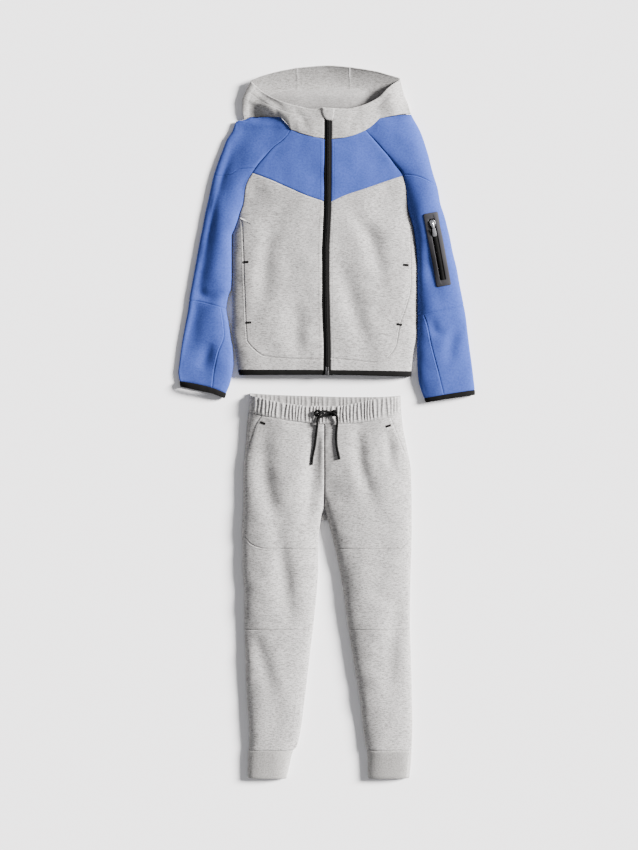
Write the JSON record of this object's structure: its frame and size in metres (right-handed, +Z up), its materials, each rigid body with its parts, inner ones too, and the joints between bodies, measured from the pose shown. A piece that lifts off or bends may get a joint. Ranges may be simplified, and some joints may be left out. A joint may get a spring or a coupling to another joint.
{
  "type": "tracksuit",
  "caption": "Child's hooded zip jacket and joggers laid flat on their backs, blue yoke and sleeves on grey melange.",
  "frame": {"origin": "centre of the set's outline on the surface it lies on", "axes": "+Z up off the surface, +Y from the ankles towards the hood, +X to the wearer's left, which is the right as seen from above"},
  "size_m": [0.6092, 1.4635, 0.0406],
  "materials": {
    "blue_jersey": "double-knit jersey, matt",
    "grey_jersey": "melange double-knit jersey, matt",
    "hood_jersey": "melange double-knit jersey, matt",
    "pale_rib": "ribbed melange knit, matt",
    "black_binding": "smooth elastic binding",
    "black_cord": "round braided cord",
    "black_zip": "coil zip on woven tape",
    "bonded_frame": "matt bonded film",
    "bright_metal": "polished metal",
    "grey_metal": "matt coated metal"
  },
  "bodies": {
    "garment": {"back_body": "grey_jersey", "back_yoke": "blue_jersey", "bartack_hip_left": "black_binding", "bartack_hip_right": "black_binding", "bartack_left_lower": "black_binding", "bartack_left_upper": "black_binding", "bartack_right_lower": "black_binding", "bartack_right_upper": "black_binding", "chin_guard": "hood_jersey", "cuff_binding_left": "black_binding", "cuff_binding_right": "black_binding", "drawstring_end_left": "black_cord", "drawstring_end_right": "black_cord", "drawstring_knot": "black_cord", "forearm_inner_left": "blue_jersey", "forearm_inner_right": "blue_jersey", "forearm_outer_left": "blue_jersey", "forearm_outer_right": "blue_jersey", "front_left": "grey_jersey", "front_right": "grey_jersey", "front_zip": "black_zip", "gusset": "grey_jersey", "hem_binding": "black_binding", "hip_front_left": "grey_jersey", "hip_front_right": "grey_jersey", "hood_centre": "hood_jersey", "hood_side_left": "hood_jersey", "hood_side_right": "hood_jersey", "leg_back_left": "grey_jersey", "leg_back_right": "grey_jersey", "leg_cuff_left": "pale_rib", "leg_cuff_right": "pale_rib", "neck_facing": "hood_jersey", "pocket_frame": "bonded_frame", "pocket_side_left": "grey_jersey", "pocket_side_right": "grey_jersey", "pocket_slider": "bright_metal", "pocket_zip": "black_zip", "shin_front_left": "grey_jersey", "shin_front_right": "grey_jersey", "side_panel_left": "grey_jersey", "side_panel_right": "grey_jersey", "sleeve_back_lower_left": "blue_jersey", "sleeve_back_lower_right": "blue_jersey", "sleeve_back_upper_left": "blue_jersey", "sleeve_back_upper_right": "blue_jersey", "sleeve_cap_left": "blue_jersey", "sleeve_cap_right": "blue_jersey", "sleeve_upper_left": "blue_jersey", "sleeve_upper_right": "blue_jersey", "thigh_front_left": "grey_jersey", "thigh_front_right": "grey_jersey", "waistband_back": "pale_rib", "waistband_front": "grey_jersey", "yoke_left": "blue_jersey", "yoke_right": "blue_jersey", "zip_pin_box": "bright_metal"},
    "pull_tab": {"pocket_pull": "grey_metal"}
  },
  "joints": [
    {"name": "pocket_pull_hinge", "type": "hinge", "parent": "garment", "child": "pull_tab", "pos_m": [0.21915, 0.39655, 0.03296], "axis": [-0.9823, -0.1823, 0.0427], "range_deg": [0, 120]}
  ]
}
